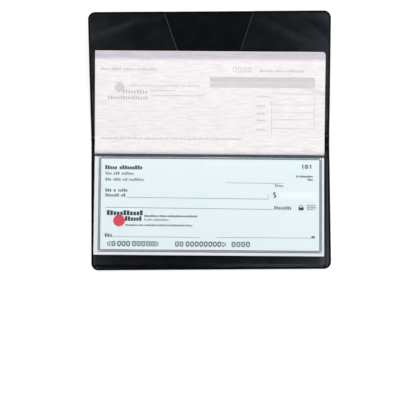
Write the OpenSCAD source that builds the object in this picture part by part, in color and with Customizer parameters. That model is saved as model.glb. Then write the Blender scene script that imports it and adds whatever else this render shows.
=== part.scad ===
// Checkbook cover of black vinyl, lying open, with a pad of checks and copies in its lower pocket.
// The lower panel is flat on the table and the upper panel springs up a little from it.
// +X is to the right, +Y runs from the lower panel to the upper panel, +Z is up.
// The origin is under the middle of the open cover, on the table.

/* [Checks] */
// Width of a check and of a copy
check_w = 152.4; // [120:0.2:200]
// Length of a check from its stub to its free edge
check_l = 67.5; // [50:0.5:100]
// Length of the stub that the binding strip holds
stub_l = 4.15; // [3:0.05:8]
// Thickness of a check
check_t = 0.11; // [0.08:0.01:0.2]
// Thickness of a copy
copy_t = 0.07; // [0.05:0.01:0.15]
// Air between two leaves
leaf_gap = 0.02; // [0.02:0.01:0.1]
// Number of checks, with a copy under each
pairs = 12; // [2:1:20]

/* [Cover] */
// Width of the cover beyond a check at each side
side_margin = 3.8; // [3:0.1:10]
// Length of the cover beyond a check's free edge
end_margin = 9.6; // [6:0.1:20]
// Thickness of the outer vinyl
outer_t = 0.45; // [0.3:0.05:1]
// Radius of the cover's four corners
corner_r = 4.8; // [3:0.1:10]
// Rise of the open upper panel above the table, in degrees
open_tilt = 8; // [0:0.5:20]
// Spare room above the pad when the cover is shut
shut_ease = 0.35; // [0.25:0.05:3]

/* [Pockets] */
// Thickness of the pocket vinyl
pocket_t = 0.3; // [0.2:0.05:0.6]
// Width of the sealed edge
seal_w = 1.6; // [1:0.1:3]
// Distance from the first bend to the mouth of the lower pocket
pocket_mouth = 9.2; // [8.5:0.1:30]
// Room inside an upper flap
flap_rise = 0.2; // [0.1:0.05:1]
// Distance from the second bend to the mouths of the upper flaps
flap_mouth = 12.2; // [1:0.1:20]
// Width of the V between the flaps at the sealed top edge
v_top_w = 58.7; // [20:0.1:90]
// Width of the V between the flaps at their mouths
v_mouth_w = 11; // [1:0.2:15]
// How far the middle of the V sits from the cover's middle
v_x = -0.4; // [-5:0.1:5]

/* [Binding] */
// Thickness of the backing board
board_t = 0.45; // [0.3:0.05:1]
// Room between the board and the walls of its pocket
board_ease = 0.5; // [0.2:0.1:2]
// Thickness of the binding strip
tape_t = 0.12; // [0.08:0.01:0.3]
// Reach of the binding strip past the stub, over the top check
lip_l = 2.2; // [0.2:0.1:4]
// Diameter of the staple wire
wire_d = 0.4; // [0.3:0.05:0.6]
// Width of a staple's crown
staple_w = 12.7; // [8:0.1:16]
// Length of a staple's bent ends
clinch_l = 4.4; // [2:0.1:5]
// Distance between the middles of the two staples
staple_gap = 76; // [30:1:90]

/* [Placing] */
// Turn of the pad in its pocket, in degrees
pad_turn = -0.85; // [-1.2:0.05:1.2]
// Sideways place of the pad in its pocket
pad_x = -0.45; // [-0.6:0.05:0.6]

/* [Hidden] */
$fn = 48;
// Air between pieces that lie on each other
fit = 0.02;
// Air round a staple leg in its hole
hole_ease = 0.05;
// Air between the turned copy and what it swings past
swing_ease = 0.12;
// Air between the shut fold and the back of the pad
fold_ease = 0.2;

pair_pitch = check_t + copy_t + 2 * leaf_gap;
cover_w = check_w + 2 * side_margin;

// Heights of the layers over the lower panel, from the table up
clinch_z = outer_t + fit;
tape_low_z = clinch_z + wire_d + fit;
board_z = tape_low_z + tape_t + fit;
pocket_z = board_z + board_t + fit;
leaves_z = pocket_z + pocket_t + fit;
leaves_top_z = leaves_z + pairs * pair_pitch - leaf_gap;
tape_top_z = leaves_top_z + fit;
crown_z = tape_top_z + tape_t + fit;
swing_z = crown_z + wire_d + swing_ease + copy_t / 2;

// Shut, the two panels' inner faces are as far apart as the strip between the bends is wide
flap_h = flap_rise + pocket_t;
fold_w = swing_z + copy_t / 2 + shut_ease + flap_h - outer_t;

// Distances from the middle of the fold towards the lower end
turn_reach = check_w / 2 * abs(sin(pad_turn));
pad_back = fold_w / 2 + fold_ease + tape_t + fit + turn_reach;
bind_y = pad_back + stub_l;
panel_l = bind_y + check_l + end_margin - fold_w / 2;
pocket_end = fold_w / 2 + panel_l - seal_w - pocket_t;
board_end = pocket_end - board_ease - turn_reach;
pocket_in_w = cover_w - 2 * (seal_w + pocket_t);
board_w = pocket_in_w - 2 * (board_end * abs(sin(pad_turn)) + abs(pad_x) + board_ease);
staple_y = -(pad_back + bind_y) / 2;

// The second bend, in the plane across the fold, with the strip raised by half the tilt
bend_y = -fold_w / 2 + fold_w * cos(open_tilt / 2);
bend_z = outer_t + fold_w * sin(open_tilt / 2);

// The turned copy swings on the front edge of the stub and lies on the upper flaps
rest_ease = swing_ease + turn_reach * sin(open_tilt) + copy_t / 2;
swing_off = (bind_y + bend_y) * sin(open_tilt) + (swing_z - bend_z) * cos(open_tilt);
copy_tilt = open_tilt + asin((flap_h + rest_ease - swing_off) / check_l);

// The middle of the open cover, from its two ends
upper_end = bend_y + panel_l * cos(open_tilt) + outer_t * sin(open_tilt);
lower_end = fold_w / 2 + panel_l;
middle_y = (upper_end - lower_end) / 2;

vinyl = [0.09, 0.09, 0.1];
lining = [0.13, 0.13, 0.15];
card = [0.62, 0.56, 0.46];
check_paper = [0.87, 0.93, 0.96];
copy_paper = [0.95, 0.9, 0.91];
strip = [0.2, 0.23, 0.28];
steel = [0.7, 0.71, 0.73];

function two_digits(i) = i < 10 ? str("0", i) : str(i);
function check_name(i) = str("check_", two_digits(i));
function copy_name(i) = str("copy_", two_digits(i));
function copy_z(i) = leaves_z + (pairs - i) * pair_pitch;
function check_z(i) = copy_z(i) + copy_t + leaf_gap;

// Frames: each panel is drawn with its bend along X at the origin and its length along +Y
module centred() {
    translate([0, -middle_y, 0]) children();
}

module on_lower_panel() {
    centred() translate([0, -fold_w / 2, 0]) mirror([0, 1, 0]) children();
}

module on_fold() {
    centred() translate([0, -fold_w / 2, outer_t]) rotate([open_tilt / 2, 0, 0])
        translate([0, 0, -outer_t]) children();
}

module on_upper_panel() {
    centred() translate([0, bend_y, bend_z]) rotate([open_tilt, 0, 0])
        translate([0, 0, -outer_t]) children();
}

module in_pad() {
    centred() translate([pad_x, 0, 0]) rotate([0, 0, pad_turn]) children();
}

// Outline of a panel, drawn in by inset at its sides and its far end, from start to that end
module panel_outline(inset = 0, start = 0) {
    half = cover_w / 2 - inset;
    end = panel_l - inset;
    r = max(corner_r - inset, 0.4);
    translate([-half, start]) square([2 * half, end - r - start]);
    translate([-half + r, start]) square([2 * (half - r), end - start]);
    for (side = [-1, 1]) translate([side * (half - r), end - r]) circle(r);
}

// A pocket: its sealed edge lies on the outer vinyl, and its sheet stands off it by rise
module pocket_sheet(start, rise) {
    translate([0, 0, outer_t]) {
        linear_extrude(pocket_t) difference() {
            panel_outline(0, start);
            panel_outline(seal_w, start);
        }
        difference() {
            linear_extrude(rise + pocket_t) panel_outline(seal_w, start);
            translate([0, 0, -1]) linear_extrude(rise + 1) panel_outline(seal_w + pocket_t, start - 1);
        }
    }
}

module upper_flap(side) {
    edge = cover_w / 2 + 1;
    top = panel_l + 1;
    slope = (v_top_w - v_mouth_w) / 2 / (panel_l - flap_mouth);
    intersection() {
        pocket_sheet(flap_mouth, flap_rise);
        linear_extrude(outer_t + flap_h + 1) polygon([
            [v_x + side * v_mouth_w / 2, flap_mouth],
            [v_x + side * (v_top_w / 2 + slope), top],
            [side * edge, top],
            [side * edge, flap_mouth]
        ]);
    }
}

// The four places where staple legs go through the stub
module staple_legs(r, low, high) {
    for (staple = [-1, 1], leg = [-1, 1])
        translate([staple * staple_gap / 2 + leg * (staple_w - wire_d) / 2, staple_y, low])
            cylinder(r = r, h = high - low);
}

module leaf(low, thick) {
    difference() {
        translate([-check_w / 2, -bind_y - check_l, low]) cube([check_w, check_l + stub_l, thick]);
        staple_legs(wire_d / 2 + hole_ease, low - 1, low + thick + 1);
    }
}

module staple() {
    reach = (staple_w - wire_d) / 2;
    low = clinch_z + wire_d / 2;
    high = crown_z + wire_d / 2;
    r = wire_d / 2;
    translate([-reach, 0, high]) rotate([0, 90, 0]) cylinder(r = r, h = 2 * reach);
    for (side = [-1, 1]) {
        translate([side * reach, 0, low]) cylinder(r = r, h = high - low);
        translate([side * reach, 0, high]) sphere(r);
        translate([side * reach, 0, low]) sphere(r);
        translate([side * reach, 0, low]) rotate([0, -90 * side, 0]) cylinder(r = r, h = clinch_l);
    }
}

// Outer vinyl, one sheet in three stretches between its two bends
module lower_cover() {
    color(vinyl) on_lower_panel() linear_extrude(outer_t) panel_outline();
}

module fold_strip() {
    color(vinyl) on_fold() translate([-cover_w / 2, 0, 0]) cube([cover_w, fold_w, outer_t]);
}

module upper_cover() {
    color(vinyl) on_upper_panel() linear_extrude(outer_t) panel_outline();
}

module lower_pocket() {
    color(lining) on_lower_panel() pocket_sheet(pocket_mouth, pocket_z - outer_t);
}

module left_flap() {
    color(lining) on_upper_panel() upper_flap(-1);
}

module right_flap() {
    color(lining) on_upper_panel() upper_flap(1);
}

// Card with its top folded over, which brings the stub up to the height of the pocket sheet
module backing_board() {
    color(card) in_pad() difference() {
        union() {
            translate([-board_w / 2, -board_end, board_z]) cube([board_w, board_end - pad_back, board_t]);
            translate([-board_w / 2, -bind_y, board_z]) cube([board_w, stub_l, leaves_z - fit - board_z]);
        }
        staple_legs(wire_d / 2 + hole_ease, board_z - 1, leaves_z + 1);
    }
}

// Strip folded round the back of the stub, with the staples through both of its sides.
// Its top side shows as a dark line in front of the turned copy.
module binding_tape() {
    side_l = stub_l + fit;
    color(strip) in_pad() difference() {
        union() {
            translate([-check_w / 2, -bind_y, tape_low_z])
                cube([check_w, side_l + tape_t, tape_top_z + tape_t - tape_low_z]);
            translate([-check_w / 2, -bind_y - lip_l, tape_top_z])
                cube([check_w, lip_l + 1, tape_t]);
        }
        translate([-check_w / 2 - 1, -bind_y - 1, tape_low_z + tape_t])
            cube([check_w + 2, side_l + 1, tape_top_z - tape_low_z - tape_t]);
        staple_legs(wire_d / 2 + hole_ease, tape_low_z - 1, crown_z + 1);
    }
}

module staples() {
    color(steel) in_pad() for (side = [-1, 1]) translate([side * staple_gap / 2, staple_y, 0]) staple();
}

module check(i) {
    color(check_paper) in_pad() leaf(check_z(i), check_t);
}

module copy(i) {
    color(copy_paper) in_pad() leaf(copy_z(i), copy_t);
}

// The copy of the check before, turned up over the fold until it rests on the upper flaps
module turned_copy() {
    color(copy_paper) in_pad() translate([0, -bind_y, swing_z]) rotate([copy_tilt, 0, 0])
        translate([-check_w / 2, swing_ease, -copy_t / 2]) cube([check_w, check_l - swing_ease, copy_t]);
}

lower_cover();
fold_strip();
upper_cover();
lower_pocket();
left_flap();
right_flap();
backing_board();
binding_tape();
staples();
turned_copy();
for (i = [1 : pairs]) {
    check(i);
    copy(i);
}
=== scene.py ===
import math

import bmesh
import bpy
import numpy as np
from mathutils import Matrix, Vector


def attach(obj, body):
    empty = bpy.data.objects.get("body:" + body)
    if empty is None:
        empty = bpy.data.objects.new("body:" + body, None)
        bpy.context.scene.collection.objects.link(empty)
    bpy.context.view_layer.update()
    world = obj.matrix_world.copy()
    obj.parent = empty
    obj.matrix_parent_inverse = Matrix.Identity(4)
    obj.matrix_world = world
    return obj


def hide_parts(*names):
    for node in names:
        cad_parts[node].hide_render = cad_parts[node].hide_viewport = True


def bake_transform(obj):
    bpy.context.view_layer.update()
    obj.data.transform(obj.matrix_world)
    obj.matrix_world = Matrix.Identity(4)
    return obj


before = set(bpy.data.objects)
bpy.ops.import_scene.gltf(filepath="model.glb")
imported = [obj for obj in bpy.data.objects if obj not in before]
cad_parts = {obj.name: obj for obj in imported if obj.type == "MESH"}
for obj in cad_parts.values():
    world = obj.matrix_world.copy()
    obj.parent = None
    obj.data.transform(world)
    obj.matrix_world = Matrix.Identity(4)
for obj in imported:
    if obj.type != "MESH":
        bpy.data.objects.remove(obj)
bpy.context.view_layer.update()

# Sizes of the CAD source, in millimetres. Points are in millimetres too, until a mesh is made.
CHECK_W, CHECK_L, STUB_L, CHECK_T, COPY_T, LEAF_GAP, PAIRS = 152.4, 67.5, 4.15, 0.11, 0.07, 0.02, 12
SIDE_MARGIN, END_MARGIN, OUTER_T, CORNER_R, SHUT_EASE = 3.8, 9.6, 0.45, 4.8, 0.35
POCKET_T, SEAL_W, POCKET_MOUTH, FLAP_RISE, FLAP_MOUTH = 0.3, 1.6, 9.2, 0.2, 12.2
V_TOP_W, V_MOUTH_W, V_X, BOARD_T, BOARD_EASE = 58.7, 11, -0.4, 0.45, 0.5
TAPE_T, LIP_L, WIRE_D = 0.12, 2.2, 0.4
PAD_X, FIT, SWING_EASE, FOLD_EASE = -0.45, 0.02, 0.12, 0.2
TILT, PAD_TURN, SHUT_TURN = math.radians(8), math.radians(-0.85), math.radians(86)

PITCH = CHECK_T + COPY_T + 2 * LEAF_GAP
HALF_W = CHECK_W / 2 + SIDE_MARGIN
TAPE_LOW_Z = OUTER_T + 2 * FIT + WIRE_D
BOARD_Z = TAPE_LOW_Z + TAPE_T + FIT
POCKET_Z = BOARD_Z + BOARD_T + FIT
LEAVES_Z = POCKET_Z + POCKET_T + FIT
LEAVES_TOP_Z = LEAVES_Z + PAIRS * PITCH - LEAF_GAP
TAPE_TOP_Z = LEAVES_TOP_Z + FIT
SWING_Z = TAPE_TOP_Z + TAPE_T + FIT + WIRE_D + SWING_EASE + COPY_T / 2
FLAP_H = FLAP_RISE + POCKET_T
FOLD_W = SWING_Z + COPY_T / 2 + SHUT_EASE + FLAP_H - OUTER_T
TURN_REACH = CHECK_W / 2 * math.sin(-PAD_TURN)
PAD_BACK = FOLD_W / 2 + FOLD_EASE + TAPE_T + FIT + TURN_REACH
BIND_Y = PAD_BACK + STUB_L
PANEL_L = BIND_Y + CHECK_L + END_MARGIN - FOLD_W / 2
BOARD_END = FOLD_W / 2 + PANEL_L - SEAL_W - POCKET_T - BOARD_EASE - TURN_REACH
BOARD_HALF = HALF_W - SEAL_W - POCKET_T - BOARD_END * math.sin(-PAD_TURN) + PAD_X - BOARD_EASE
BEND_Y = -FOLD_W / 2 + FOLD_W * math.cos(TILT / 2)
BEND_Z = OUTER_T + FOLD_W * math.sin(TILT / 2)
REST_EASE = SWING_EASE + TURN_REACH * math.sin(TILT) + COPY_T / 2
SWING_OFF = (BIND_Y + BEND_Y) * math.sin(TILT) + (SWING_Z - BEND_Z) * math.cos(TILT)
COPY_TILT = TILT + math.asin((FLAP_H + REST_EASE - SWING_OFF) / CHECK_L)
UPPER_END = BEND_Y + PANEL_L * math.cos(TILT) + OUTER_T * math.sin(TILT)
MIDDLE_Y = (UPPER_END - FOLD_W / 2 - PANEL_L) / 2

MM = 0.001
# A hair of room between sheets that lie on each other, and a span too short to matter
HAIR, TINY = 0.004, 1e-6


# Places
def lower(x, u, h):
    """On the lower panel, u from the first bend towards the front and h above the table."""
    x, u, h = np.broadcast_arrays(x, u, h)
    return np.stack([x, -FOLD_W / 2 - u - MIDDLE_Y, h], -1)


def upper(x, w, h):
    """On the upper panel, w from the second bend and h above its outer face."""
    x, w, h = np.broadcast_arrays(x, w, h)
    y = BEND_Y + w * math.cos(TILT) - (h - OUTER_T) * math.sin(TILT)
    return np.stack([x, y - MIDDLE_Y, BEND_Z + w * math.sin(TILT) + (h - OUTER_T) * math.cos(TILT)], -1)


def pad(x, y, z):
    """In the pad, which is turned a little about the middle of the fold."""
    x, y, z = np.broadcast_arrays(x, y, z)
    c, s = math.cos(PAD_TURN), math.sin(PAD_TURN)
    return np.stack([PAD_X + x * c - y * s, x * s + y * c - MIDDLE_Y, z], -1)


def metres(p):
    return tuple(float(v) * MM for v in p)


def smooth(t):
    t = np.clip(t, 0, 1)
    return t * t * (3 - 2 * t)


def bump_at(v, centre, width):
    return np.exp(-(((v - centre) / width) ** 2))


def rounding(d, reach, power=2):
    """How much of a rounded edge is cut back, from 1 at the edge to 0 at that reach from it."""
    return np.clip(1 - d / reach, 0, 1) ** power


def ripple(x, y, parts):
    """A sum of waves: (length, direction in degrees, phase in turns, weight) each."""
    total = 0
    for length, angle, phase, weight in parts:
        along = x * math.cos(math.radians(angle)) + y * math.sin(math.radians(angle))
        total = total + weight * np.sin(2 * math.pi * (along / length + phase))
    return total


# Meshes
class Patch:
    """Quads over a plane, with points that meet merged."""

    def __init__(self):
        self.points, self.index, self.faces = [], {}, []

    def point(self, p):
        key = (round(float(p[0]), 4), round(float(p[1]), 4))
        if key not in self.index:
            self.index[key] = len(self.points)
            self.points.append((float(p[0]), float(p[1])))
        return self.index[key]

    def grid(self, rows):
        ids = [[self.point(p) for p in row] for row in rows]
        for a, b in zip(ids, ids[1:]):
            for i in range(len(a) - 1):
                face = list(dict.fromkeys((a[i], a[i + 1], b[i + 1], b[i])))
                if len(face) > 2:
                    self.faces.append(face)

    def arrays(self):
        p = np.array(self.points)
        return p[:, 0], p[:, 1]


def mesh_object(name, points, faces, places, materials, sharp=40):
    """A mesh whose points are in millimetres. Each point keeps its flat place for the materials."""
    data = bpy.data.meshes.new(name)
    data.from_pydata((np.asarray(points) * MM).tolist(), [], faces)
    kept = data.attributes.new("place", "FLOAT_VECTOR", "POINT")
    kept.data.foreach_set("vector", np.asarray(places, np.float32).ravel())
    work = bmesh.new()
    work.from_mesh(data)
    bmesh.ops.recalc_face_normals(work, faces=work.faces)
    work.to_mesh(data)
    work.free()
    data.polygons.foreach_set("use_smooth", [True] * len(data.polygons))
    data.set_sharp_from_angle(angle=math.radians(sharp))
    for m in materials:
        data.materials.append(m)
    made = bpy.data.objects.new(name, data)
    bpy.context.scene.collection.objects.link(made)
    return made


def sheet_solid(name, patch, top, bottom, materials, sharp=40, zone=None, under=0):
    """A closed sheet between two faces over one patch. zone(x, y) gives the number of each top face's
    material, and under is the number of the underside's and the rim's."""
    n = len(patch.points)
    edges = {(a, b): True for f in patch.faces for a, b in zip(f, f[1:] + f[:1])}
    rim = [[b, a, a + n, b + n] for a, b in edges if (b, a) not in edges]
    faces = patch.faces + [[i + n for i in reversed(f)] for f in patch.faces] + rim
    px, py = patch.arrays()
    places = np.tile(np.stack([px, py, np.zeros(n)], 1), (2, 1))
    made = mesh_object(name, np.concatenate([top, bottom]), faces, places, materials, sharp)
    numbers = np.full(len(faces), under)
    middles = np.array([places[f, :2].mean(0) for f in patch.faces])
    numbers[:len(middles)] = 0 if zone is None else zone(middles[:, 0], middles[:, 1])
    made.data.polygons.foreach_set("material_index", numbers)
    return made


# How far in from a panel's rim the rings of its mesh lie, and the columns in from a sheet's free edge
INSETS = np.array([0, 0.06, 0.14, 0.25, 0.4, 0.6, 0.8, 0.95, 1.1, 1.25,
                   1.4, 1.6, 1.85, 2.15, 2.5, 2.9, 3.4, 4.0, CORNER_R])
FREE_COLUMNS = (0, 0.1, 0.22, 0.36, 0.6, 1.1)
CORNER_RAYS = 15


def panel_patch(rows, inner, sides=(-1, 1), step=3.8):
    """A panel as rings round its rim and a grid inside. inner(u) is where the columns of a sheet on one
    side start, and it is None for a whole panel."""
    patch = Patch()
    core_x, core_u = HALF_W - CORNER_R, PANEL_L - CORNER_R
    rows = [*rows, *(PANEL_L - INSETS[::-1])[1:]]
    if inner is None:
        xs = np.linspace(-core_x, core_x, int(2 * core_x / step) + 1)
        patch.grid([[(x, u) for x in xs] for u in rows])
    else:
        side = sides[0]
        shares = np.linspace(0, 1, int(core_x / step) + 1)[1:]
        lines = []
        for u in rows:
            start = inner(u)
            last = start + FREE_COLUMNS[-1]
            xs = [start + v for v in FREE_COLUMNS] + [last + (core_x - last) * s for s in shares]
            lines.append([(side * x, u) for x in xs])
        patch.grid(lines)
    for side in sides:
        # Neighbouring faces have to run the same way round
        steps = INSETS if inner is None and side < 0 else INSETS[::-1]
        patch.grid([[(side * (HALF_W - i), u) for i in steps] for u in rows if u <= core_u + TINY])
        corner = []
        for a in np.radians(np.linspace(0, 90, CORNER_RAYS)):
            c, s = math.cos(a), math.sin(a)
            corner.append([(side * (core_x + r * c), core_u + r * s) for r in CORNER_R - steps])
        patch.grid(corner)
    return patch


def inset(x, u):
    """Distance from a panel's outline."""
    cx, cu = np.abs(x) - (HALF_W - CORNER_R), u - (PANEL_L - CORNER_R)
    corner = CORNER_R - np.hypot(np.maximum(cx, 0), np.maximum(cu, 0))
    return np.where((cx > 0) & (cu > 0), corner, np.minimum(HALF_W - np.abs(x), PANEL_L - u))


# Outer vinyl: each bend's inner radius when shut, and how far the pressed finish reaches from the rim and
# past a bend
LOWER_R, UPPER_R, RIM_W, PRESSED_U = 0.9, 1.4, 1.35, 3.5
FOLD_ROWS, BEND_ROWS, PANEL_ROWS, HALVINGS = 6, 23, 200, 40
# Marks pressed into the outside: distance from the edge, half width and depth, and the short seals' pitch
SEAL_IN, SEAL_R, SEAL_DEEP, SEAL_PITCH = 1.2, 0.24, 0.15, 2.4
LINE_IN, LINE_R, LINE_DEEP = 1.5, 0.3, 0.14
MOUTH_R, MOUTH_DEEP = 0.5, 0.03
# How much the cut edge is rounded inside and outside, as a share of the sheet, and how far in
ROUND_IN, ROUND_IN_W, ROUND_OUT, ROUND_OUT_W = 0.12, 0.15, 0.4, 0.4


def bend_profile(q, radius):
    """The outer sheet across a bend: points of its inner and outer face, along and above the incoming
    sheet. Shut, the bend is a round corner of that radius. Open, the sheet keeps a low ridge there, as each
    point is placed to lie on that corner when turned about the bend's own line by its share of the shut
    turn."""
    inner, outer = np.zeros((len(q), 2)), np.zeros((len(q), 2))
    rise = TILT / 2
    for i, v in enumerate(q):
        if v <= -radius:
            inner[i], outer[i] = (v, 0), (v, -OUTER_T)
        elif v >= radius:
            inner[i] = v * math.cos(rise), v * math.sin(rise)
            outer[i] = inner[i] + (OUTER_T * math.sin(rise), -OUTER_T * math.cos(rise))
        else:
            psi = math.radians(90) * (v + radius) / (2 * radius)
            for found, r in ((inner, radius), (outer, radius + OUTER_T)):
                a, b = -radius + r * math.sin(psi), radius - r * math.cos(psi)
                low, high = 0.0, 1.0
                for _ in range(HALVINGS):
                    w = (low + high) / 2
                    turned = a * math.cos(w * SHUT_TURN) + b * math.sin(w * SHUT_TURN)
                    if w < smooth((turned + radius) / (2 * radius)):
                        low = w
                    else:
                        high = w
                w = (low + high) / 2
                c, s = math.cos(w * SHUT_TURN), math.sin(w * SHUT_TURN)
                found[i] = a * c + b * s, -a * s + b * c
    return inner, outer


def skin(name, side, radius, materials):
    """Half of the outer vinyl: one panel and its half of the strip between the bends."""
    core_u = PANEL_L - CORNER_R
    rows = np.concatenate([
        np.linspace(-FOLD_W / 2, -radius, FOLD_ROWS)[:-1],
        np.linspace(-radius, radius, BEND_ROWS)[:-1],
        np.linspace(radius, core_u, PANEL_ROWS),
    ])
    patch = panel_patch(rows, None)
    x, u = patch.arrays()
    if side < 0:
        inner, outer = bend_profile(-u, radius)
        inner, outer = inner + (-FOLD_W / 2, OUTER_T), outer + (-FOLD_W / 2, OUTER_T)
    else:
        inner, outer = bend_profile(u, radius)
        c, s = math.cos(TILT / 2), math.sin(TILT / 2)
        turn = np.array([[c, s], [-s, c]])
        inner, outer = inner @ turn + (BEND_Y, BEND_Z), outer @ turn + (BEND_Y, BEND_Z)
    d, from_side = inset(x, u), HALF_W - np.abs(x)
    cut_in, cut_out = ROUND_IN * rounding(d, ROUND_IN_W), ROUND_OUT * rounding(d, ROUND_OUT_W)
    on_panel = smooth((u - radius) / 2)
    at_side = smooth((core_u - u) / 1.5 + 1) * (from_side < 3)
    seals = bump_at(from_side, SEAL_IN, SEAL_R) * (0.5 + 0.5 * np.cos(2 * math.pi * u / SEAL_PITCH)) ** 1.4
    far_line = bump_at(PANEL_L - u, LINE_IN, LINE_R) * smooth((from_side - SEAL_IN) / 1.5)
    mouth = bump_at(u, FLAP_MOUTH if side > 0 else POCKET_MOUTH, MOUTH_R) * smooth(from_side / 3)
    groove = SEAL_DEEP * seals * at_side + LINE_DEEP * far_line + MOUTH_DEEP * mouth
    groove = groove * on_panel / OUTER_T
    low = outer + (inner - outer) * (cut_out + groove)[:, None]
    high = inner + (outer - inner) * cut_in[:, None]
    top = np.stack([x, high[:, 0] - MIDDLE_Y, high[:, 1]], 1)
    bottom = np.stack([x, low[:, 0] - MIDDLE_Y, low[:, 1]], 1)

    def zone(px, pu):
        return np.where((inset(px, pu) < RIM_W) | (pu < PRESSED_U), 2, 0)

    return sheet_solid(name, patch, top, bottom, materials, sharp=50, zone=zone, under=1)


# Pockets: the trench in their welded rim, the rows near a mouth, and waves as ripple takes them
TRENCH_IN, TRENCH_R, POCKET_TRENCH, FLAP_TRENCH = 1.2, 0.22, 0.045, 0.01
MOUTH_ROWS = np.array([0, 0.1, 0.25, 0.5, 1])
SLOPE_IN, RIB_H, PUCKER_H = 1.4, 0.04, 0.1
RIBS = [(2.3, 90, 0, 0.5), (3.7, 84, 0.3, 0.35), (1.7, 97, 0.6, 0.25)]
PUCKERS = [(19, 8, 0.1, 0.5), (11, -14, 0.4, 0.3), (31, 3, 0.75, 0.4)]
FLAP_WAVES = {
    -1: [(19, 107.6, 0.86, 1.1), (35, 165, 0.3, 0.3), (47, 80, 0.2, 0.15)],
    1: [(30, 52, 0.62, 0.75), (19, 68, 0.1, 0.4), (52, 95, 0.35, 0.25)],
}
# The lowest a flap sinks, and how far in from its free edge its top takes the paler vinyl, a painted
# highlight for the light the cut edge catches
FLAP_LOWEST, CUT_HIGHLIGHT_W = 0.012, 0.34


def weld(d, trench):
    """Thickness of a pocket's welded rim, which has a trench pressed along its inner side."""
    return POCKET_T * (1 - 0.25 * rounding(d, 0.15)) - trench * bump_at(d, TRENCH_IN, TRENCH_R)


def pocket_rows(mouth, count):
    near = mouth + MOUTH_ROWS
    return np.concatenate([near, np.linspace(near[-1], PANEL_L - CORNER_R, count)[1:]])


def pocket_sheet(materials):
    """The lower pocket, which lies over the board and slopes down to its weld on three sides."""
    patch = panel_patch(pocket_rows(POCKET_MOUTH, 130), None, step=1.6)
    x, u = patch.arrays()
    d = inset(x, u)
    c, s = math.cos(PAD_TURN), math.sin(PAD_TURN)
    fx, fy = x - PAD_X, -FOLD_W / 2 - u
    bx, by = fx * c + fy * s, -fx * s + fy * c
    off = np.hypot(np.maximum(np.abs(bx) - BOARD_HALF, 0), np.maximum(-BOARD_END - by, 0))
    reach = np.clip(d - SLOPE_IN, 0, None)
    share = reach / (reach + off + TINY)
    rise = (POCKET_Z - OUTER_T) * (0.35 * share + 0.65 * smooth(share))
    # Ribs lie on the slopes at the sides, and puckers on the one in front
    slope = 4 * share * (1 - share)
    at_side = smooth((PANEL_L - 5 - u) / 3)
    wave = RIB_H * ripple(x, u, RIBS) * at_side + PUCKER_H * ripple(x, u, PUCKERS) * (1 - at_side)
    lip = 0.1 * rounding(u - POCKET_MOUTH, 0.25)
    under = OUTER_T + HAIR + rise + np.where(d > SEAL_W + 0.1, slope * wave, 0)
    thick = np.where(d < SEAL_W, weld(d, POCKET_TRENCH), POCKET_T)
    top, bottom = lower(x, u, under + thick - lip), lower(x, u, under + 0.4 * lip)

    def zone(px, pu):
        return np.where(inset(px, pu) < RIM_W, 1, 0)

    return sheet_solid("pocket_sheet", patch, top, bottom, materials, sharp=50, zone=zone)


def flap_sheet(name, side, materials):
    """A flap of the upper panel, welded along its side and far edge, with low waves."""
    slope = (V_TOP_W - V_MOUTH_W) / 2 / (PANEL_L - FLAP_MOUTH)

    def edge(w):
        return V_MOUTH_W / 2 + side * V_X + slope * (w - FLAP_MOUTH)

    patch = panel_patch(pocket_rows(FLAP_MOUTH, 60), edge, sides=(side,), step=1.6)
    x, w = patch.arrays()
    d = inset(x, w)
    free = (np.abs(x) - edge(w)) / math.hypot(1, slope)
    # It stands off the panel inside its welds, waves most near the far edge, and sinks to its free edge
    far = smooth((w - 60) / 12)
    puff = smooth((d - 0.5) / 0.9) * smooth((PANEL_L - w - 1.5) / 6)
    waves = (0.4 + 0.75 * far) * ripple(x, w, FLAP_WAVES[side])
    rise = puff * (0.55 * FLAP_RISE + FLAP_RISE * waves)
    rise = np.maximum(rise, FLAP_LOWEST * puff) * (0.5 + 0.5 * smooth(free / 4))
    under = OUTER_T + HAIR + rise
    thick = np.where(d < SEAL_W, weld(d, FLAP_TRENCH), POCKET_T)
    # The corner at the mouth is thinned out
    thick = thick - 0.2 * (1 - smooth((w - FLAP_MOUTH) / 2.5)) * (1 - smooth((d - 1) / 3))
    lip = 0.14 * rounding(free, 0.36, 1.5) + 0.05 * rounding(w - FLAP_MOUTH, 0.25, 1.5)
    top, bottom = upper(x, w, under + thick - lip), upper(x, w, under)

    def zone(px, pw):
        # Faces near the free edge take the paler vinyl, a painted highlight along the cut edge
        cut = (np.abs(px) - edge(pw)) / math.hypot(1, slope) < CUT_HIGHLIGHT_W
        return np.where(inset(px, pw) < RIM_W, 1, np.where(cut, 2, 0))

    return sheet_solid(name, patch, top, bottom, materials, sharp=50, zone=zone)


# Leaves: the mesh's steps, how far leaves lie off each other, the swell past the strip and towards the
# front, each with its reach, and low waves
LEAF_STEPS, LOOSE_X, LOOSE_Y = 40, 0.12, 0.13
SWELL_H, SWELL_L, FRONT_H, FRONT_L = 0.2, 5, 0.05, 66
LEAF_WAVES = [(96, 12, 0.2, 0.6), (61, 70, 0.5, 0.4)]


def rise_of_leaves(x, y):
    """How far the top leaf stands above its place in a flat stack. It swells a little past the strip."""
    past = np.clip(-y - BIND_Y - LIP_L, 0, None)
    swell = SWELL_H * (1 - np.exp(-past / SWELL_L)) + FRONT_H * smooth(past / FRONT_L)
    return swell * (1 + 0.12 * ripple(x, y, LEAF_WAVES))


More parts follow.
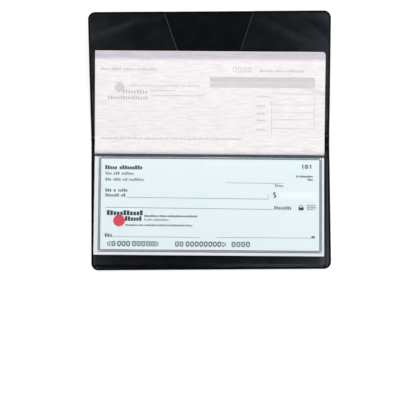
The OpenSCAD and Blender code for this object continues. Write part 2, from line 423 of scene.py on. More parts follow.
def leaf(name, low, thick, place, material):
    """One leaf of the pad. place is its number in the stack, from the bottom. Each lies a little off the
    last, in no plain order, and the top one lies true."""
    dx, dy = LOOSE_X * math.sin(place * 2.4), LOOSE_Y * math.sin(place * 1.7 + 1)
    if place == 2 * PAIRS:
        dx = dy = 0
    half = CHECK_W / 2
    xs = np.linspace(dx - half, dx + half, LEAF_STEPS + 1)
    ys = np.linspace(-BIND_Y - CHECK_L + dy, -PAD_BACK, LEAF_STEPS + 1)
    patch = Patch()
    patch.grid([[(x, y) for x in xs] for y in ys])
    x, y = patch.arrays()
    z = low + place / (2 * PAIRS) * rise_of_leaves(x, y)
    return sheet_solid(name, patch, pad(x, y, z + thick), pad(x, y, z), [material])


def bezier(points, n):
    p = np.array(points, float)
    t = np.linspace(0, 1, n)[:, None]
    return (1 - t) ** 3 * p[0] + 3 * (1 - t) ** 2 * t * p[1] + 3 * (1 - t) * t * t * p[2] + t**3 * p[3]


def normals(line):
    """Unit normals along a line of points, to its left."""
    step = np.gradient(line, axis=0)
    return np.stack([-step[:, 1], step[:, 0]], 1) / np.linalg.norm(step, axis=1)[:, None]


def lengths(line):
    """How far along a line each of its points lies."""
    return np.concatenate([[0], np.cumsum(np.linalg.norm(np.diff(line, axis=0), axis=1))])


def turned_line():
    """The turned copy from the side, as points (y, z) in the pad: over the strip, round, and back over the
    stub. Its straight part starts at join."""
    root, front, top = (-BIND_Y + 0.085, 4.64), (-BIND_Y - 0.535, 4.76), (-BIND_Y + 2.415, 5.76)
    join = 6.0

    def plane(y):
        return SWING_Z + (y + BIND_Y) * math.tan(COPY_TILT)

    parts = [
        bezier([root, (root[0] - 0.4, root[1]), (front[0], front[1] - 0.06), front], 12),
        bezier([front, (front[0], front[1] + 0.52), (top[0] - 1.6, top[1] - 0.08), top], 34)[1:],
        bezier([top, (top[0] + 1.5, top[1] + 0.075), (0, plane(0)), (join, plane(join))], 20)[1:],
    ]
    line = np.concatenate(parts)
    rest = CHECK_L - (join + BIND_Y) / math.cos(COPY_TILT)
    far = np.linspace(0, rest, 120)[1:, None]
    straight = line[-1] + far * (math.cos(COPY_TILT), math.sin(COPY_TILT))
    return np.concatenate([line, straight])


TURNED = turned_line()
TURNED_S = lengths(TURNED)
TURNED_L = TURNED_S[-1]
TURNED_N = normals(TURNED)
COPY_WAVE_H, COPY_WAVES = 0.1, [(88, 25, 0.1, 0.6), (57, -40, 0.4, 0.4)]
# The crease across the copy's far corner: a point on it, the direction across it, its height and half width
CREASE = 48.0, TURNED_L - 19.0, 0.26, 0.966
CREASE_H, CREASE_R = 0.1, 1.1
# How high the far edge curls up, and from how far in
CURL_H, CURL_L = 0.12, 5


def on_turned(x, s, off):
    """On the turned copy, s along it from its root and off above its upper face."""
    y, z = np.interp(s, TURNED_S, TURNED[:, 0]), np.interp(s, TURNED_S, TURNED[:, 1])
    ny, nz = np.interp(s, TURNED_S, TURNED_N[:, 0]), np.interp(s, TURNED_S, TURNED_N[:, 1])
    far = smooth((s - 16) / 20)
    wave = COPY_WAVE_H * far * ripple(x, s, COPY_WAVES)
    # The crease across the corner, and the corner beyond it, which lifts
    beyond = (x - CREASE[0]) * CREASE[2] + (s - CREASE[1]) * CREASE[3]
    fold = bump_at(beyond, 0, CREASE_R) + 0.9 * smooth(beyond / 14)
    wave = wave + CREASE_H * smooth((x - 40) / 16) * far * fold
    curl = CURL_H * smooth((s - TURNED_L + CURL_L) / CURL_L) ** 2
    out = off + wave + curl
    return pad(x, y + ny * out, z + nz * out)


def turned_copy(material):
    """The turned copy, with one rounded far corner. Its mesh is finer towards that corner."""
    half, corner = CHECK_W / 2, 1.9
    patch = Patch()
    ss = np.concatenate([TURNED_S[:-1], TURNED_L - np.array([corner, 1.2, 0.7, 0.3, 0])])
    ss = np.unique(np.round(ss, 3))
    near = half - np.array([3.2, 2.5, corner, 1.4, 1.0, 0.6, 0.3, 0])
    xs = np.concatenate([np.linspace(-half, half - 4, 118), near])
    rows = []
    for s in ss:
        row = []
        for x in xs:
            cx, cs = x - (half - corner), s - (TURNED_L - corner)
            if cx > 0 and cs > 0:
                far = max(cx, cs)
                shrink = far / math.hypot(cx, cs)
                row.append((half - corner + cx * shrink, TURNED_L - corner + cs * shrink))
            else:
                row.append((x, s))
        rows.append(row)
    patch.grid(rows)
    x, s = patch.arrays()
    top, bottom = on_turned(x, s, COPY_T / 2), on_turned(x, s, -COPY_T / 2)
    return sheet_solid("turned_copy_leaf", patch, top, bottom, [material], sharp=60)


def strip_wrap(material):
    """The binding strip: over the leaves, round the back of the stub, and under the board."""
    high, low = TAPE_TOP_Z + TAPE_T / 2, TAPE_LOW_Z + TAPE_T / 2
    back = -PAD_BACK + FIT + TAPE_T / 2
    r, turns = 0.35, np.radians(np.linspace(15, 90, 6))
    line = [(-BIND_Y - LIP_L, high), (-BIND_Y - LIP_L / 2, high + 0.012), (-BIND_Y, high)]
    line += [(y, high) for y in np.linspace(-BIND_Y, back - r, 5)[1:]]
    line += [(back - r + r * math.sin(a), high - r + r * math.cos(a)) for a in turns]
    line += [(back, z) for z in np.linspace(high - r, low + r, 5)[1:]]
    line += [(back - r + r * math.cos(a), low + r - r * math.sin(a)) for a in turns]
    line += [(y, low) for y in np.linspace(back - r, -BIND_Y, 5)[1:]]
    line = np.array(line)
    along = lengths(line)
    patch = Patch()
    xs = np.linspace(-CHECK_W / 2, CHECK_W / 2, 77)
    patch.grid([[(x, s) for x in xs] for s in along])
    x, s = patch.arrays()
    i = np.searchsorted(along, s - 1e-4)  # A patch rounds its points to that
    # The front edge isn't cut quite straight
    edge = np.where(i == 0, 0.05 * ripple(x, s, [(37, 0, 0.1, 0.6), (13, 0, 0.4, 0.4)]), 0)
    mid, n = line[i], normals(line)[i] * TAPE_T / 2
    top = pad(x, mid[:, 0] + n[:, 0] + edge, mid[:, 1] + n[:, 1])
    bottom = pad(x, mid[:, 0] - n[:, 0] + edge, mid[:, 1] - n[:, 1])
    return sheet_solid("binding_strip_wrap", patch, top, bottom, [material], sharp=60)


# Print: how far ink lies above its leaf, its thickness, and the longest side of a quad
INK_LIFT, INK_T, QUAD_L = 0.004, 0.008, 2.5
# Blocks in place of letters: their heights in turn, their pitch, and the room after and before a gap
BLOCK_HEIGHTS, BLOCK_PITCH, AFTER_GAP, BEFORE_GAP = (1, 0.74, 0.72, 0.95, 0.7), 0.66, 0.35, 0.2


def arc(x, y, r, start, end, count):
    return [(x + r * math.cos(a), y + r * math.sin(a)) for a in np.radians(np.linspace(start, end, count))]


class Ink(Patch):
    """Flat printed shapes on a leaf, each from its own quads."""

    def quad_grid(self, rows):
        base = len(self.points)
        wide = len(rows[0])
        for row in rows:
            self.points.extend((float(a), float(b)) for a, b in row)
        for j in range(len(rows) - 1):
            for i in range(wide - 1):
                k = base + j * wide + i
                self.faces.append([k, k + 1, k + 1 + wide, k + wide])

    def rect(self, x0, y0, x1, y1):
        nx, ny = max(1, round(abs(x1 - x0) / QUAD_L)), max(1, round(abs(y1 - y0) / QUAD_L))
        xs, ys = np.linspace(x0, x1, nx + 1), np.linspace(y0, y1, ny + 1)
        self.quad_grid([[(x, y) for x in xs] for y in ys])

    def bar(self, x0, x1, y, height):
        self.rect(x0, y - height / 2, x1, y + height / 2)

    def line(self, points, width):
        """A line of even width through points."""
        p = np.array(points, float)
        n = normals(p) * width / 2
        self.quad_grid([[a, b] for a, b in zip(p - n, p + n)])

    def stroke(self, a, b, width):
        count = max(2, round(math.dist(a, b) / 0.8) + 1)
        self.line(np.linspace(a, b, count), width)

    def words(self, x0, x1, y, height, gaps=(), heavy=0.62):
        """A line of print as short blocks, in groups parted at gaps."""
        ends = [x0, *gaps, x1]
        for k, (a, b) in enumerate(zip(ends, ends[1:])):
            start = a + (height * AFTER_GAP if k else 0)
            stop = b - (height * BEFORE_GAP if k < len(ends) - 2 else 0)
            count = max(1, round((stop - start) / (height * BLOCK_PITCH)))
            pitch = (stop - start) / count
            for i in range(count):
                tall = height * BLOCK_HEIGHTS[(i * 3 + k * 2) % 5]
                left = start + i * pitch
                self.rect(left, y - height / 2, left + pitch * heavy, y - height / 2 + tall)

    def zero(self, x, y, wide, tall, width):
        """A plain nought."""
        power = 2.3
        rows = []
        for a in np.linspace(0, 2 * math.pi, 21):
            c, s = math.cos(a), math.sin(a)
            f = 1 / (abs(c) ** power + abs(s) ** power) ** (1 / power)
            rows.append([(x + (wide / 2 - k) * c * f, y + (tall / 2 - k) * s * f) for k in (width, 0)])
        self.quad_grid(rows)

    def one(self, x, y, tall, width):
        """A plain one."""
        self.rect(x - width / 2, y - tall / 2, x + width / 2, y + tall / 2)
        self.stroke((x, y + tall / 2 - width / 2), (x - tall * 0.22, y + tall * 0.27), width)

    def dollar(self, x, y, tall, width):
        """A plain dollar sign."""
        r = tall * 0.2
        self.line(arc(x, y + r, r, 30, 270, 13) + arc(x, y - r, r, 90, -150, 13)[1:], width)
        self.stroke((x, y - tall / 2), (x, y + tall / 2), width * 0.6)

    def disc(self, x, y, r):
        self.quad_grid(list(zip(*[arc(x, y, k * r, 0, 360, 33) for k in (0.02, 0.5, 1)])))


def ink_piece(name, ink, place, material, slot_name):
    x, y = ink.arrays()
    made = sheet_solid(name, ink, place(x, y, INK_LIFT + INK_T), place(x, y, INK_LIFT), [material])
    return made


def on_check(x, y, off):
    """On the top check, x from its middle and y in the pad."""
    return pad(x, y, LEAVES_TOP_Z + rise_of_leaves(x, y) + off)


def check_print(mats):
    """The top check's print. x counts from its middle and y in the pad."""
    border, lines, text, dark, light, red = Ink(), Ink(), Ink(), Ink(), Ink(), Ink()
    # The border: two fine rules with close zigzags between them
    x0, x1, y0, y1 = -73.6, 74.7, -74.0, -10.5
    band, tooth, zigzag_w = 1.5, 1.1, 0.5
    for inner, width in ((0, 0.42), (band - 0.36, 0.48)):
        a, b, c, d = x0 + inner, x1 - inner, y0 + inner, y1 - inner
        border.rect(a, c, a + width, d)
        border.rect(b - width, c, b, d)
        border.rect(a + width, c, b - width, c + width)
        border.rect(a + width, d - width, b - width, d)
    for first, last, fixed, flat in (
        (x0, x1, y0, True),
        (x0, x1, y1 - band, True),
        (y0, y1, x0, False),
        (y0, y1, x1 - band, False),
    ):
        count = 2 * round((last - first - 2 * band) / tooth)
        at = np.linspace(first + band, last - band, count + 1)
        side = fixed + np.where(np.arange(count + 1) % 2, 0.42, band - 0.48)
        border.line(np.stack([at, side] if flat else [side, at], 1), zigzag_w)
    # Rules to write on
    lines.stroke((10.6, -27.7), (48.9, -27.9), 0.3)
    lines.stroke((-54.7, -37.8), (39.5, -38.4), 0.34)
    lines.stroke((39.4, -38.5), (39.4, -34.8), 0.24)
    lines.stroke((-68.7, -44.6), (42.3, -45.2), 0.36)
    lines.stroke((-63.0, -63.9), (-5.9, -64.1), 0.3)
    lines.stroke((5.0, -64.0), (67.7, -64.0), 0.3)
    # Lines of print
    dark.words(-69.3, -44.3, -17.9, 2.6, gaps=(-60.6,), heavy=0.78)
    text.words(-69.0, -49.9, -21.9, 1.9, gaps=(-64.2, -58.9))
    text.words(-69.0, -43.2, -25.9, 1.9, gaps=(-64.4, -58.1, -53.8))
    dark.words(57.7, 68.8, -23.1, 1.35, gaps=(59.7,), heavy=0.75)
    dark.words(65.3, 68.8, -25.2, 1.4, heavy=0.75)
    text.words(43.6, 49.4, -29.3, 1.7)
    dark.words(-68.9, -53.9, -33.1, 2.1, gaps=(-64.1, -61.1), heavy=0.6)
    dark.words(-68.8, -55.2, -36.4, 2.1, gaps=(-59.1,), heavy=0.6)
    dark.words(43.2, 54.9, -44.1, 2.3, heavy=0.6)
    dark.words(-68.8, -63.5, -63.0, 2.3, heavy=0.6)
    dark.words(67.9, 70.2, -63.4, 1.6, heavy=0.85)
    dark.words(-67.7, -43.6, -48.1, 3.3, heavy=0.8)
    dark.words(-55.7, -44.4, -51.9, 3.1, heavy=0.8)
    dark.words(-42.8, -7.7, -50.1, 1.4, gaps=(-33.5, -28.1, -16.4), heavy=0.75)
    text.words(-42.8, -26.5, -52.6, 1.4, gaps=(-41.3, -37.5))
    dark.words(-55.3, -10.9, -56.2, 1.25, gaps=(-46.9, -43.2, -35.0, -27.0, -15.3), heavy=0.7)
    for y, end in ((-42.3, 70.6), (-43.6, 71.4), (-44.9, 70.0)):
        text.words(64.9, end, y, 0.95, heavy=0.7)
    # A plain padlock and a plain red disc
    dark.rect(59.3, -45.6, 62.7, -43.7)
    arch = [(61 + 1.15 * math.cos(a), -43.8 + 1.5 * math.sin(a)) for a in np.linspace(0, math.pi, 11)]
    dark.line(arch, 0.45)
    red.disc(-59.6, -53.3, 3.9)
    # Numbers
    dark.one(62.1, -16.6, 2.7, 0.7)
    dark.zero(64.5, -16.6, 2.2, 2.8, 0.7)
    dark.one(67.3, -16.6, 2.7, 0.7)
    dark.dollar(43.4, -35.6, 4.0, 0.6)
    foot_y = -68.5
    for first, count, pitch in (
        (-63.1, 1, 3.0),
        (-59.4, 3, 3.0),
        (-49.5, 3, 3.0),
        (-40.2, 2, 2.95),
        (-21.1, 2, 3.0),
        (-14.1, 8, 3.02),
        (16.3, 4, 3.2),
    ):
        for i in range(count):
            dark.zero(first + pitch * i, foot_y, 2.6, 3.6, 0.72)
    for x, turn in ((-66.4, 1), (-34.3, -1), (10.3, -1)):
        dark.rect(x - 0.8 * turn, foot_y - 1.2, x - 0.1 * turn, foot_y + 1)
        dark.rect(x + 0.4 * turn, foot_y - 1.6, x + 1.4 * turn, foot_y - 0.6)
        dark.rect(x + 0.4 * turn, foot_y + 0.4, x + 1.4 * turn, foot_y + 1.4)
    # The plain box for the amount
    light.rect(46.5, -38.3, 71.0, -33.4)
    inks = (
        ("border", border, "border", "print_grey"),
        ("rules", lines, "rules", "print_grey"),
        ("words", text, "text", "print_grey"),
        ("dark", dark, "dark", "print_grey"),
        ("amount_box", light, "box", "check_paper"),
        ("mark", red, "red", "print_red"),
    )
    return [
        ink_piece("check_print_" + name, ink, on_check, mats[face], slot_name)
        for name, ink, face, slot_name in inks
    ]


def copy_print(mats):
    """What shows through the turned copy, faintly. x counts from its middle and y from its front edge."""
    faint, band = Ink(), Ink()
    # A band of chevrons
    for i in range(107):
        x = 0.65 * i - 0.2
        tip = x + 0.9
        band.stroke((x, 43.7), (tip, 47.0), 0.3)
        band.stroke((tip, 47.2), (x, 50.7), 0.34)
    for i in range(4):
        faint.zero(16.2 + 3.25 * i, 55.5, 2.4, 3.5, 0.4)
    faint.words(32.8, 62.6, 54.9, 1.8, gaps=(42.2, 50.2))
    faint.words(-72.2, -35.4, 55.5, 1.85, gaps=(-66, -58, -49))
    # A disc of bars
    disc_x, disc_y, disc_r = -59.9, 43.5, 3.2
    for i in range(8):
        y = 0.8 * i - 2.8
        half = math.sqrt(disc_r**2 - y**2)
        faint.bar(disc_x - half, disc_x + half, disc_y + y, 0.56)
    faint.words(-51.6, -6.8, 44.6, 0.95, gaps=(-40, -31, -20))
    faint.words(-57.8, -41.0, 40.7, 2.7)
    faint.words(-67.6, -41.0, 36.7, 2.5)
    faint.words(-39.2, -22.8, 41.5, 0.95)
    faint.words(-38.8, -3.8, 38.2, 0.95, gaps=(-31, -19, -11))
    # A table of four rows
    left, right, low, high, rule_w = 41.0, 69.4, 16.9, 39.9, 0.24
    for y in (low, 22.9, 27.8, 32.6, high):
        faint.bar(left, right, y, rule_w)
    for x, foot in ((left, low - 4.5), (right, low)):
        faint.rect(x - rule_w / 2, foot, x + rule_w / 2, high)
    for y in (31.8, 26.8, 22.3, 16.3):
        faint.words(31.2, 37.2, y, 1.2)
    faint.words(31.2, 40, 38.0, 0.9)
    faint.words(-72.0, 21.4, 9.8, 1.3, gaps=(-60, -44, -27, -15, 3))
    faint.bar(26.0, 51.6, 5.0, 0.2)
    faint.words(60.8, 67.6, 2.8, 1.9)

    def place(x, y, off):
        return on_turned(x, y + TURNED_L - CHECK_L, COPY_T / 2 + off)

    return [
        ink_piece("copy_print_words", faint, place, mats["faint"], "print_grey"),
        ink_piece("copy_print_band", band, place, mats["faint_band"], "print_grey"),
    ]


# Materials
class Tree:
    """A material with a Principled shader, and short ways to add nodes to it."""

    def __init__(self, name, colour, roughness, **values):
        self.material = bpy.data.materials.new(name)
        self.material.use_nodes = True
        self.nodes, self.links = self.material.node_tree.nodes, self.material.node_tree.links
        self.shader = self.nodes["Principled BSDF"]
        self.shader.inputs["Base Color"].default_value = (*colour, 1)
        self.shader.inputs["Roughness"].default_value = roughness
        for key, value in values.items():
            self.shader.inputs[key.replace("_", " ")].default_value = value
        place = self.nodes.new("ShaderNodeAttribute")
        place.attribute_name = "place"
        self.place = place.outputs["Vector"]

    def add(self, kind, settings=None, **inputs):
        node = self.nodes.new("ShaderNode" + kind)
        for key, value in (settings or {}).items():
            setattr(node, key, value)
        for key, value in inputs.items():
            numbered = key[0] == "i" and key[1:].isdigit()
            self.feed(node.inputs[int(key[1:]) if numbered else key.replace("_", " ")], value)
        return node

    def feed(self, socket, value):
        if isinstance(value, bpy.types.NodeSocket):
            self.links.new(value, socket)
        else:
            socket.default_value = value

    def object_place(self):
        """Places of a CAD node's own mesh, which has no flat ones. They are in metres."""
        return self.add("TexCoord").outputs["Object"]

    def noise(self, scale, detail=3, vector=None, stretch=None):
        vector = self.place if vector is None else vector
        if stretch:
            vector = self.add("Mapping", Vector=vector, Scale=stretch).outputs[0]
        return self.add("TexNoise", Vector=vector, Scale=scale, Detail=detail).outputs["Fac"]

    def math(self, operation, a, b=0.0, c=0.0):
        return self.add("Math", {"operation": operation}, i0=a, i1=b, i2=c).outputs[0]

    def ramp(self, fac, low, high, a=0.0, b=1.0):
        return self.add("MapRange", {"clamp": True}, i0=fac, i1=low, i2=high, i3=a, i4=b).outputs[0]

    def mix(self, fac, a, b):
        node = self.add("Mix", {"data_type": "RGBA"})
        self.feed(node.inputs[0], fac)
        for socket, colour in ((node.inputs[6], a), (node.inputs[7], b)):
            self.feed(socket, (*colour, 1) if isinstance(colour, tuple) else colour)
        return node.outputs[2]

    def set(self, name, socket):
        self.links.new(socket, self.shader.inputs[name])

    def bump(self, height, strength, distance, normal=None):
        node = self.add("Bump", Height=height, Strength=strength, Distance=distance * MM)
        if normal is not None:
            self.links.new(normal, node.inputs["Normal"])
        self.set("Normal", node.outputs[0])
        return node.outputs[0]


def vinyl(name, dark, light, roughness, grain, grain_depth, gloss=0.5):
    """Soft vinyl with a fine grain and a faint cloudiness."""
    t = Tree(name, dark, roughness, Specular_IOR_Level=gloss, Specular_Tint=(0.82, 0.89, 1.0, 1.0))
    t.set("Base Color", t.mix(t.ramp(t.noise(0.045, 2), 0.35, 0.7), dark, light))
    t.set("Roughness", t.ramp(t.noise(0.12, 2), 0.3, 0.7, roughness - 0.03, roughness + 0.03))
    cells = t.add("TexVoronoi", {"feature": "SMOOTH_F1"}, Vector=t.place, Scale=grain, Smoothness=0.6)
    first = t.bump(t.noise(grain * 0.9, 3), 0.5, grain_depth * 0.6)
    t.bump(cells.outputs["Distance"], 0.6, grain_depth, normal=first)
    return t.material


def fibre_bump(t, scale=4.0):
    t.bump(t.noise(scale, 4), 0.25, 0.012)


def paper(name, colour, tint, roughness=0.75):
    t = Tree(name, colour, roughness)
    t.set("Base Color", t.mix(t.ramp(t.noise(0.5, 5), 0.3, 0.7), colour, tint))
    fibre_bump(t)
    return t.material


def check_face(name):
    """Pale blue safety paper: a fine zigzag inside the border, and plain paler margins."""
    t = Tree(name, (0.8, 0.88, 0.92), 0.7)
    xyz = t.add("SeparateXYZ", i0=t.place).outputs
    zig_w, period = 1.5, 1.6
    zig = t.math("PINGPONG", xyz[0], zig_w)
    wave = t.math("SINE", t.math("MULTIPLY", t.math("ADD", xyz[1], zig), 2 * math.pi / period))
    cloud = t.ramp(t.noise(0.06, 3), 0.3, 0.7)
    inside = t.mix(cloud, (0.9, 0.955, 0.965), (0.93, 0.965, 0.965))
    marked = t.mix(t.ramp(wave, -0.2, 0.7), inside, (0.545, 0.73, 0.805))
    # How far inside the border, across and along
    across = t.math("SUBTRACT", 74.0, t.math("ABSOLUTE", t.math("SUBTRACT", xyz[0], 0.55)))
    along = t.math("SUBTRACT", 31.4, t.math("ABSOLUTE", t.math("ADD", xyz[1], 41.9)))
    within = t.ramp(t.math("MINIMUM", across, along), 0.0, 0.4)
    fibres = t.noise(1.6, 4, stretch=(1.0, 0.4, 1.0))
    margin = t.mix(t.ramp(fibres, 0.3, 0.7), (0.74, 0.785, 0.835), (0.8, 0.83, 0.87))
    t.set("Base Color", t.mix(within, margin, marked))
    fibre_bump(t)
    return t.material


def copy_face(name):
    """Pinkish coated copy paper with faint streaks, a lavender band near its far edge, and painted shade
    along the crease across its far corner.
    """
    t = Tree(name, (0.92, 0.88, 0.9), 0.62)
    xyz = t.add("SeparateXYZ", i0=t.place).outputs
    streak = t.noise(0.35, 5, stretch=(0.3, 2.2, 1.0))
    cloud = t.ramp(t.noise(0.11, 3), 0.35, 0.65)
    base = t.mix(cloud, (0.978, 0.93, 0.916), (0.925, 0.897, 0.914))
    base = t.mix(t.ramp(t.noise(0.9, 3), 0.38, 0.66, 0.0, 0.8), base, (0.83, 0.785, 0.79))
    base = t.mix(t.ramp(streak, 0.4, 0.66, 0.0, 0.85), base, (0.79, 0.75, 0.775))
    end = t.math("SUBTRACT", TURNED_L, xyz[1])
    band = t.math("MULTIPLY", t.ramp(end, 0.2, 0.9, 0.6, 1.0), t.ramp(end, 6.6, 4.2))
    band = t.math("MULTIPLY", band, t.ramp(t.noise(0.25, 4, stretch=(0.25, 3.0, 1.0)), 0.3, 0.65, 0.6, 1.0))
    base = t.mix(band, base, (0.55, 0.505, 0.59))
    # Painted shade along the crease across the far corner
    beyond = t.math("MULTIPLY_ADD", t.math("SUBTRACT", xyz[0], CREASE[0]), CREASE[2],
                    t.math("MULTIPLY", t.math("SUBTRACT", xyz[1], CREASE[1]), CREASE[3]))
    crease_shade = t.ramp(t.math("ABSOLUTE", t.math("ADD", beyond, 0.8)), 0.2, 2.2, 0.5, 0.0)
    crease_shade = t.math("MULTIPLY", crease_shade, t.ramp(xyz[0], 52.0, 70.0))
    t.set("Base Color", t.mix(crease_shade, base, (0.62, 0.58, 0.61)))
    fibre_bump(t, 3.5)
    return t.material


def board_face(name):
    """Grey-brown card with flecks."""
    t = Tree(name, (0.4, 0.35, 0.27), 0.85)
    flecks = t.ramp(t.noise(900.0, 5, t.object_place()), 0.35, 0.65)
    t.set("Base Color", t.mix(flecks, (0.33, 0.285, 0.215), (0.46, 0.405, 0.32)))
    t.bump(t.noise(1500.0, 4, t.object_place()), 0.4, 0.03)
    return t.material


def wire_face(name):
    """Drawn steel wire."""
    t = Tree(name, (0.62, 0.63, 0.65), 0.28, Metallic=1.0)
    drawn = t.noise(700.0, 3, t.object_place(), stretch=(0.2, 2.0, 2.0))
    t.set("Roughness", t.ramp(drawn, 0.3, 0.7, 0.2, 0.38))
    return t.material


def ink_face(name, colour, speck=0.12):
    """Ink, a little thinner in places."""
    t = Tree(name, colour, 0.6)
    worn = tuple(c + speck * (0.9 - c) for c in colour)
    t.set("Base Color", t.mix(t.ramp(t.noise(1.8, 4), 0.45, 0.75), colour, worn))
    return t.material


OUTER = vinyl("outer_vinyl", (0.0038, 0.0048, 0.0065), (0.0054, 0.0066, 0.0086), 0.42, 2.2, 0.012)
LINING = vinyl("outer_vinyl_inside", (0.0026, 0.0036, 0.0052), (0.0034, 0.0045, 0.0062), 0.18, 3.0, 0.0006)
INNER = vinyl("pocket_vinyl", (0.0034, 0.0046, 0.0063), (0.0048, 0.0061, 0.0082), 0.2, 3.4, 0.0006)
PRESSED = vinyl("pressed_rim", (0.0008, 0.0009, 0.0012), (0.0014, 0.0015, 0.0019), 0.3, 3.4, 0.001, 0.12)
# Paler vinyl for the flaps' cut edges: a painted highlight for the light they catch
CUT_HIGHLIGHT = vinyl("cut_edge_highlight", (0.013, 0.0135, 0.016), (0.021, 0.0215, 0.025), 0.5, 3.0, 0.02)
CHECK = check_face("check_paper")
CHECK_BACK = paper("check_paper_plain", (0.78, 0.86, 0.9), (0.74, 0.83, 0.88))
COPY = copy_face("copy_paper")
COPY_BACK = paper("copy_paper_plain", (0.9, 0.86, 0.88), (0.86, 0.82, 0.85))
STRIP = paper("binding_strip", (0.028, 0.038, 0.052), (0.045, 0.058, 0.075), 0.6)
MATS = {
    "border": ink_face("ink_border", (0.05, 0.07, 0.09)),
    "rules": ink_face("ink_rules", (0.2, 0.235, 0.26)),
    "text": ink_face("ink_text", (0.1, 0.125, 0.15)),
    "dark": ink_face("ink_dark", (0.022, 0.03, 0.042), 0.04),
    "box": ink_face("amount_box", (0.81, 0.92, 0.945), 0.3),
    "red": ink_face("ink_red", (0.7, 0.04, 0.09), 0.05),
    "faint": ink_face("ink_faint", (0.54, 0.51, 0.515), 0.3),
    "faint_band": ink_face("ink_faint_band", (0.41, 0.39, 0.385), 0.3),
}

# Pieces
lower_skin = skin("lower_cover_skin", -1, LOWER_R, [LINING, OUTER, PRESSED])
upper_skin = skin("upper_cover_skin", 1, UPPER_R, [LINING, OUTER, PRESSED])
sheet = pocket_sheet([INNER, PRESSED])
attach(sheet, "lower_panel")
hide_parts("lower_pocket")
for side, node in ((-1, "left_flap"), (1, "right_flap")):
    flap = flap_sheet(node + "_sheet", side, [INNER, PRESSED, CUT_HIGHLIGHT])
    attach(flap, "upper_panel")
    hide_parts(node)
strip = strip_wrap(STRIP)
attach(strip, "lower_panel")
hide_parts("binding_tape")
turned = turned_copy(COPY)

for i in range(1, PAIRS + 1):
    low = LEAVES_Z + (PAIRS - i) * PITCH
    place = 2 * (PAIRS - i) + 1
    top_face = CHECK if i == 1 else CHECK_BACK
    for kind, z, thick, at, face in (
        ("copy", low, COPY_T, place, COPY_BACK),
        ("check", low + COPY_T + LEAF_GAP, CHECK_T, place + 1, top_face),
    ):
        made = leaf(f"{kind}_leaf_{i:02d}", z, thick, at, face)
        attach(made, "lower_panel")
        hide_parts(f"{kind}_{i:02d}")

lower_pivot = np.array([0, -FOLD_W / 2 - MIDDLE_Y, OUTER_T])
across = np.array([0, LOWER_R, 0])
start, end = metres(lower_pivot - across), metres(lower_pivot + across)
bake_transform(lower_skin)
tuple(start)
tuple(end)
upper_pivot = np.array([0, BEND_Y - MIDDLE_Y, BEND_Z])
across = UPPER_R * np.array([0, math.cos(TILT / 2), math.sin(TILT / 2)])
start, end = metres(upper_pivot - across), metres(upper_pivot + across)
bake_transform(upper_skin)
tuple(start)
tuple(end)
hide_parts("lower_cover", "fold_strip")
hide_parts("upper_cover", "fold_strip")

for piece in check_print(MATS):
    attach(piece, "lower_panel")
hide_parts("turned_copy")
# Points at the curl's foot at the strip and at its top
start, end = metres(pad(0, -BIND_Y - 0.285, SWING_Z)), metres(pad(0, -BIND_Y + 0.415, 5.7))
for piece in [turned, *copy_print(MATS)]:
    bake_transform(piece)
    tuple(start)
    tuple(end)

for node, material in (("backing_board", board_face("board")), ("staples", wire_face("staple_wire"))):
    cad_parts[node].data.materials.clear()
    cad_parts[node].data.materials.append(material)

# Floor, light and camera, in metres
STAGE_R, WALL_H, RING, FLOOR_Z, STAGE_ALBEDO = 6.0, 2.4, 64, -0.00003, 0.35
NEAR_R, FAR_R = 0.3, 1.5
CAMERA_H, CAMERA_X, CAMERA_Y, LENS = 0.4, -0.00054, -0.0457, 51.12
CAMERA_TILT, CAMERA_TURN = math.radians(2.1), math.radians(-0.4)

scene = bpy.context.scene
scene.view_settings.view_transform = "Standard"


def white_to_camera(tree, near, far):
    """Adds plain white to what the camera sees of a surface, and mirrors and glass with it. It rises from
    near at NEAR_R to far at FAR_R from the middle of the floor, as the lamps' own light on it falls."""
    path = tree.nodes.new("ShaderNodeLightPath")
    where = tree.nodes.new("ShaderNodeTexCoord")
    away = tree.nodes.new("ShaderNodeVectorMath")
    away.operation = "LENGTH"
    tree.links.new(where.outputs["Object"], away.inputs[0])
    level = tree.nodes.new("ShaderNodeMapRange")
    for name, value in (("From Min", NEAR_R), ("From Max", FAR_R), ("To Min", near), ("To Max", far)):
        level.inputs[name].default_value = value
    tree.links.new(away.outputs["Value"], level.inputs["Value"])
    seen = path.outputs["Is Camera Ray"]
    for name in ("Is Glossy Ray", "Is Transmission Ray"):
        most = tree.nodes.new("ShaderNodeMath")
        most.operation = "MAXIMUM"
        tree.links.new(seen, most.inputs[0])
        tree.links.new(path.outputs[name], most.inputs[1])
        seen = most.outputs[0]
    times = tree.nodes.new("ShaderNodeMath")
    times.operation = "MULTIPLY"
    tree.links.new(seen, times.inputs[0])
    tree.links.new(level.outputs["Result"], times.inputs[1])
    return times.outputs[0]


def stage_mesh(name, points, faces, near, far):
    """Part of the stage: pale, and plain white to the camera and in reflections."""
    mesh = bpy.data.meshes.new(name)
    mesh.from_pydata(points, [], faces)
    made = bpy.data.objects.new(name, mesh)
    scene.collection.objects.link(made)
    material = bpy.data.materials.new(name)
    material.use_nodes = True
    shader = material.node_tree.nodes["Principled BSDF"]
    shader.inputs["Base Color"].default_value = (STAGE_ALBEDO, STAGE_ALBEDO, STAGE_ALBEDO, 1)
    shader.inputs["Roughness"].default_value = 0.9
    shader.inputs["Specular IOR Level"].default_value = 0.0
    shader.inputs["Emission Color"].default_value = (1, 1, 1, 1)
    seen = white_to_camera(material.node_tree, near, far)
    material.node_tree.links.new(seen, shader.inputs["Emission Strength"])
    mesh.materials.append(material)


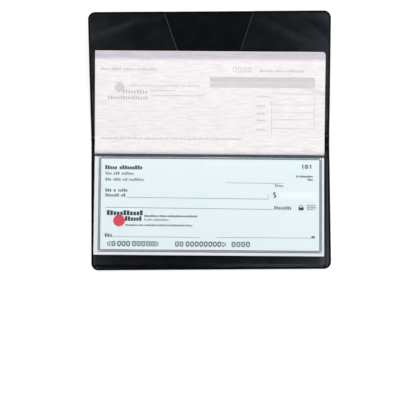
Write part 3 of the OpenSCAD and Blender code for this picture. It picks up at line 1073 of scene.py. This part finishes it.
ring = arc(0, 0, STAGE_R, 0, 360, RING + 1)[:-1]
stage_mesh("floor", [(x, y, FLOOR_Z) for x, y in ring], [list(range(RING))], 0.7, 0.98)
wall = [[i, (i + 1) % RING, (i + 1) % RING + RING, i + RING] for i in range(RING)]
stage_mesh("backdrop", [(x, y, z) for z in (FLOOR_Z, WALL_H) for x, y in ring], wall, 1.0, 1.0)

world = bpy.data.worlds.new("world")
scene.world = world
world.use_nodes = True
background = world.node_tree.nodes["Background"]
background.inputs["Color"].default_value = (1, 1, 1, 1)
background.inputs["Strength"].default_value = 0.02


def lamp(name, place, size, power, aim):
    data = bpy.data.lights.new(name, "AREA")
    data.shape = "RECTANGLE"
    data.size, data.size_y = size
    data.energy = power
    made = bpy.data.objects.new(name, data)
    made.location = place
    made.rotation_mode = "QUATERNION"
    made.rotation_quaternion = (Vector(aim) - Vector(place)).to_track_quat("-Z", "Y")
    scene.collection.objects.link(made)


# The soft boxes overhead face straight down, and their reflections shade the vinyl
lamp("back_softbox", (0.0, 0.9, 0.9), (1.2, 0.6), 18.0, aim=(0, 0, 0))
lamp("left_softbox", (-0.45, -0.15, 1.0), (0.28, 1.2), 1.7, aim=(-0.45, -0.15, 0))
lamp("right_softbox", (0.71, -0.15, 1.0), (0.86, 1.2), 4.8, aim=(0.71, -0.15, 0))
lamp("front_softbox", (0.34, -0.42, 1.0), (0.52, 0.36), 1.5, aim=(0.34, -0.42, 0))

camera_data = bpy.data.cameras.new("camera")
camera_data.sensor_width = 36.0
camera_data.lens = LENS
camera_data.clip_start, camera_data.clip_end = 0.01, 20.0
camera = bpy.data.objects.new("camera", camera_data)
scene.collection.objects.link(camera)
aim = Vector((CAMERA_X, CAMERA_Y - MIDDLE_Y * MM, 0))
facing = Matrix.Rotation(CAMERA_TILT, 3, "X") @ Matrix.Rotation(CAMERA_TURN, 3, "Z")
camera.rotation_mode = "QUATERNION"
camera.rotation_quaternion = facing.to_quaternion()
camera.location = aim + facing @ Vector((0, 0, CAMERA_H))
scene.camera = camera
